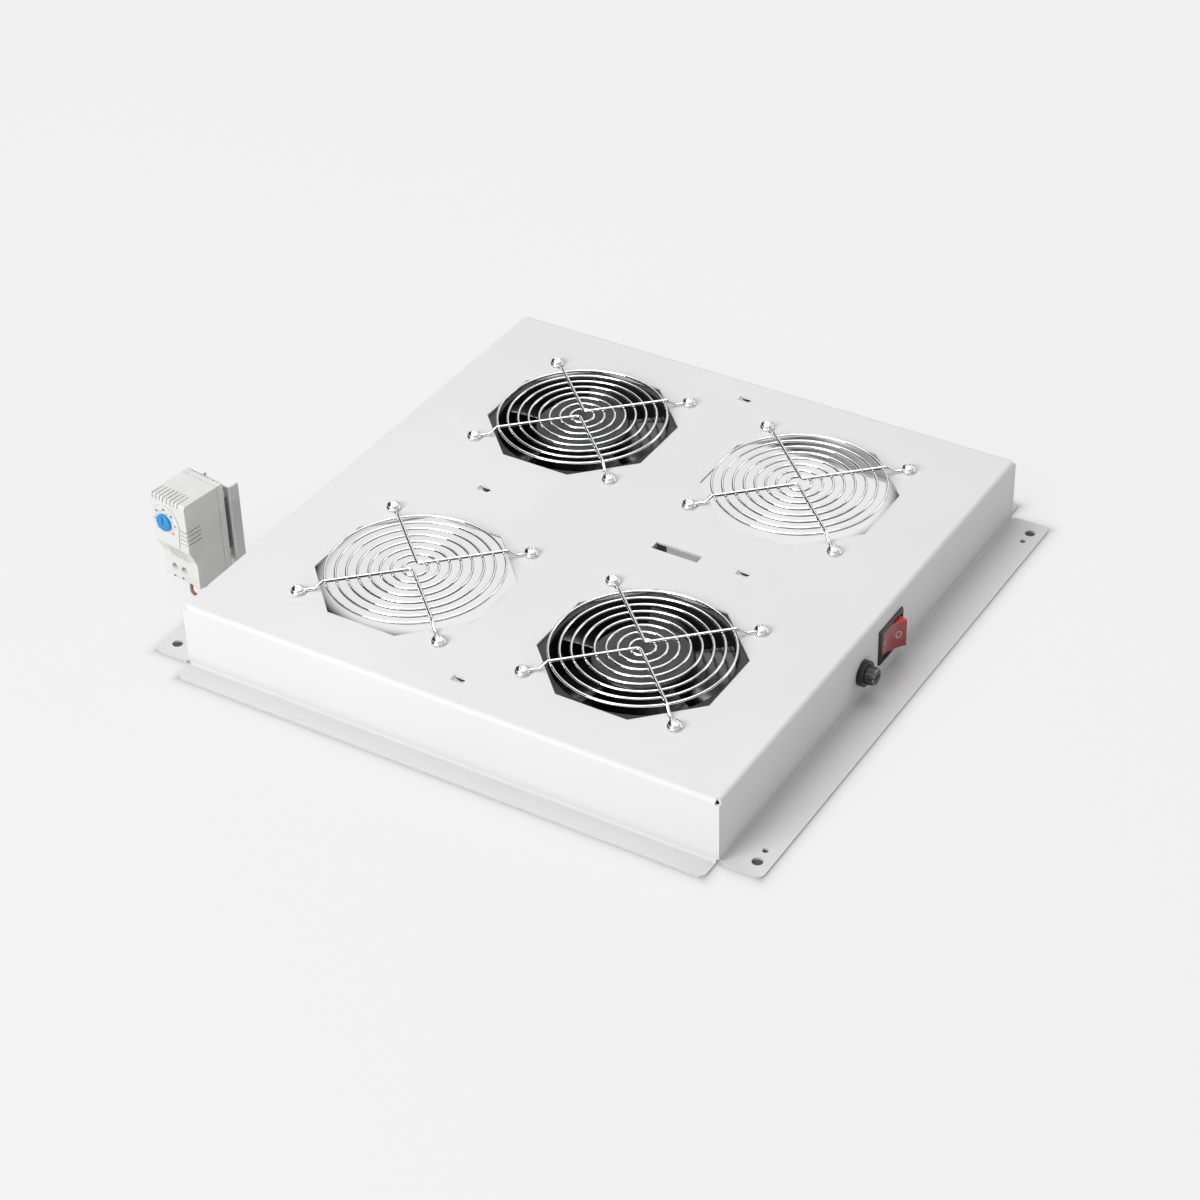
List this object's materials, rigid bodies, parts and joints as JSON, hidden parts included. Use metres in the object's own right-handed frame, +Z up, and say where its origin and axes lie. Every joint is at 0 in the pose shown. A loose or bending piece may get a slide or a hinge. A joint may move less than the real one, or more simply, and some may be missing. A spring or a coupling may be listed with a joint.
{
  "type": "rack fan tray",
  "caption": "Folded sheet-steel rack fan tray with axial fans, wire finger guards, spare fan bays, a rocker switch, a fuse holder and a thermostat on a short lead.",
  "frame": {"origin": "centre of the rectangle of flange bolt holes, at the underside of the flanges", "axes": "+Z up out of the top plate; -Y is the front wall with the switch and the fuse holder; +X to the right when facing the front wall"},
  "size_m": [0.428, 0.4736, 0.076],
  "materials": {
    "grey_powder_coat": "satin powder coat",
    "chrome_wire": "bright",
    "black_fan_frame": "satin",
    "black_fan_rotor": "gloss",
    "bearing_steel": "satin",
    "motor_iron": "varnished",
    "brass_tabs": "tinned",
    "zinc_fastener": "bright",
    "black_plastic": "satin",
    "red_rocker": "translucent",
    "clear_glass": "clear",
    "black_rubber": "matt",
    "white_plastic": "matt",
    "light_grey_plastic": "satin",
    "grey_bracket": "satin",
    "blue_plastic": "gloss",
    "black_sheath": "matt",
    "brown_insulation": "satin",
    "blue_insulation": "satin"
  },
  "bodies": {
    "tray": {"blue_core": "blue_insulation", "blue_core_inside": "blue_insulation", "brown_core": "brown_insulation", "brown_core_inside": "brown_insulation", "cable_tie": "black_plastic", "earth_screw": "zinc_fastener", "fan_nuts": "zinc_fastener", "fan_screws": "zinc_fastener", "finger_guard_front_left": "chrome_wire", "finger_guard_front_right": "chrome_wire", "finger_guard_rear_left": "chrome_wire", "finger_guard_rear_right": "chrome_wire", "fuse_holder_body": "black_plastic", "fuse_holder_nut": "black_plastic", "fuse_terminals": "brass_tabs", "lead_bush": "black_rubber", "left_fan_bearings": "bearing_steel", "left_fan_frame": "black_fan_frame", "left_fan_stator": "motor_iron", "left_fan_terminals": "brass_tabs", "mains_bush": "black_rubber", "right_fan_bearings": "bearing_steel", "right_fan_frame": "black_fan_frame", "right_fan_stator": "motor_iron", "right_fan_terminals": "brass_tabs", "spare_bay_nuts": "zinc_fastener", "spare_bay_screws": "zinc_fastener", "switch_body": "black_plastic", "switch_lamp": "clear_glass", "switch_terminals": "brass_tabs", "terminal_block": "white_plastic", "terminal_block_screw": "zinc_fastener", "terminal_contacts": "brass_tabs", "thermostat_bimetal": "bearing_steel", "thermostat_bracket": "grey_bracket", "thermostat_front": "light_grey_plastic", "thermostat_lead": "black_sheath", "thermostat_rear": "light_grey_plastic", "thermostat_terminals": "zinc_fastener", "tray_shell": "grey_powder_coat"},
    "left_fan_spinner": {"left_fan_rotor": "black_fan_rotor", "left_fan_shaft": "bearing_steel", "left_fan_cage": "motor_iron"},
    "right_fan_spinner": {"right_fan_rotor": "black_fan_rotor", "right_fan_shaft": "bearing_steel", "right_fan_cage": "motor_iron"},
    "rocker": {"switch_rocker": "red_rocker"},
    "fuse_carrier": {"fuse_tube": "clear_glass", "fuse_end_caps": "bearing_steel"},
    "fuse_knob": {"fuse_cap": "black_plastic"},
    "dial": {"thermostat_dial": "blue_plastic"}
  },
  "joints": [
    {"name": "left_fan_spin", "type": "hinge", "parent": "tray", "child": "left_fan_spinner", "pos_m": [-0.1, -0.0825, 0.026], "axis": [0, 0, 1], "continuous": true},
    {"name": "right_fan_spin", "type": "hinge", "parent": "tray", "child": "right_fan_spinner", "pos_m": [0.1, 0.0825, 0.026], "axis": [0, 0, 1], "continuous": true},
    {"name": "switch_rock", "type": "hinge", "parent": "tray", "child": "rocker", "pos_m": [0.0164, -0.1865, 0.0223], "axis": [0, 0, 1], "range_deg": [0, 32]},
    {"name": "fuse_pull", "type": "slide", "parent": "tray", "child": "fuse_carrier", "axis": [0, -1, 0], "range_m": [0, 0.03]},
    {"name": "fuse_cap_turn", "type": "hinge", "parent": "fuse_carrier", "child": "fuse_knob", "pos_m": [-0.0207, -0.1905, 0.019], "axis": [0, -1, 0], "range_deg": [0, 90]},
    {"name": "dial_turn", "type": "hinge", "parent": "tray", "child": "dial", "pos_m": [-0.14409, 0.24402, 0.0578], "axis": [-0.991, 0.134, 0], "range_deg": [-135, 135]}
  ]
}
